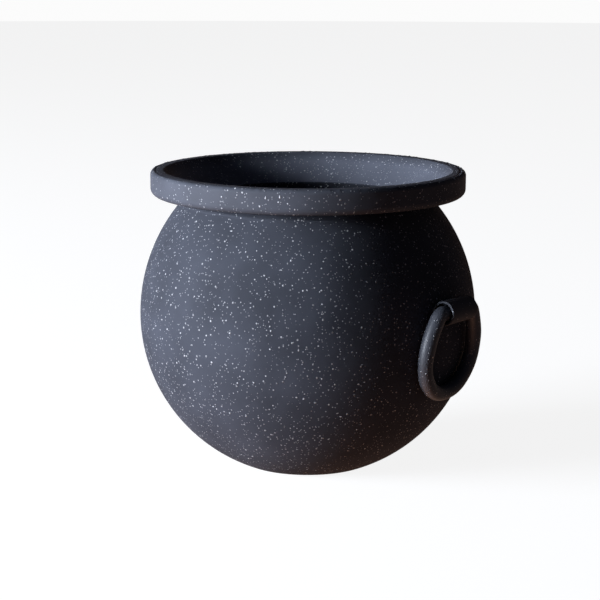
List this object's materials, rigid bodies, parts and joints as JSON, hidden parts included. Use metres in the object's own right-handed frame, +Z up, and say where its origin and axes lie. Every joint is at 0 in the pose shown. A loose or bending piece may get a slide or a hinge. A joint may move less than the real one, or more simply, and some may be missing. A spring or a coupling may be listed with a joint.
{
  "type": "cauldron pot",
  "caption": "Round-bellied matte black clay pot with a rolled rim and drop rings that swing in strap lugs on its shoulder.",
  "frame": {"origin": "centre of the flat base, on the surface that the pot stands on", "axes": "+Z up along the pot's centre line, +X through the bar of the right ring, +Y across"},
  "size_m": [0.135, 0.12, 0.1059],
  "materials": {
    "body_clay": "matte, unglazed, flecked with light grit",
    "rim_clay": "matte, unglazed, flecked with light grit",
    "lug_clay": "matte, unglazed",
    "ring_clay": "smoothed matte, lightly flecked"
  },
  "bodies": {
    "pot": {"pot_body": "body_clay", "rim_collar": "rim_clay", "right_lug": "lug_clay", "left_lug": "lug_clay"},
    "right_handle": {"right_ring": "ring_clay"},
    "left_handle": {"left_ring": "ring_clay"}
  },
  "joints": [
    {"name": "right_ring_swing", "type": "hinge", "parent": "pot", "child": "right_handle", "pos_m": [0.0633, 0, 0.063], "axis": [0, -1, 0], "range_deg": [0, 205]},
    {"name": "left_ring_swing", "type": "hinge", "parent": "pot", "child": "left_handle", "pos_m": [-0.0633, 0, 0.063], "axis": [0, 1, 0], "range_deg": [0, 205]}
  ]
}
